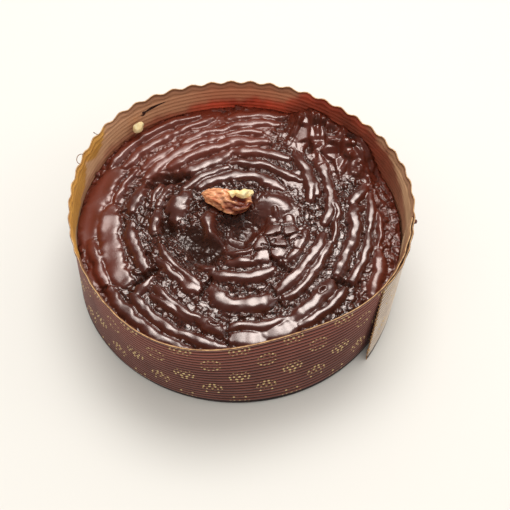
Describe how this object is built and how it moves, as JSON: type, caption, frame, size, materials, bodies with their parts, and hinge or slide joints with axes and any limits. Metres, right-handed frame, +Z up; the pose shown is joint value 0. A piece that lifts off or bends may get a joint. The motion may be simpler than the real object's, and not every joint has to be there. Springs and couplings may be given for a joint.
{
  "type": "brownie cake",
  "caption": "Round brownie cake in a low ribbed paper baking case with a scalloped rim, chocolate piped in broken rings on top and a nut kernel in the middle.",
  "frame": {"origin": "centre of the paper case's underside, on the surface that it stands on", "axes": "+Z up, +Y away from the picture's camera, +X to its right"},
  "size_m": [0.1714, 0.1728, 0.0597],
  "materials": {
    "case_paper": "ribbed brown baking paper with a small gold print, satin",
    "chocolate_cake": "dark chocolate brownie under a thin glossy glaze",
    "nut": "wrinkled brown skin with pale broken flesh"
  },
  "bodies": {
    "root": {"case_base": "case_paper", "case_wall": "case_paper", "cake": "chocolate_cake", "nut_kernel": "nut"}
  },
  "joints": []
}
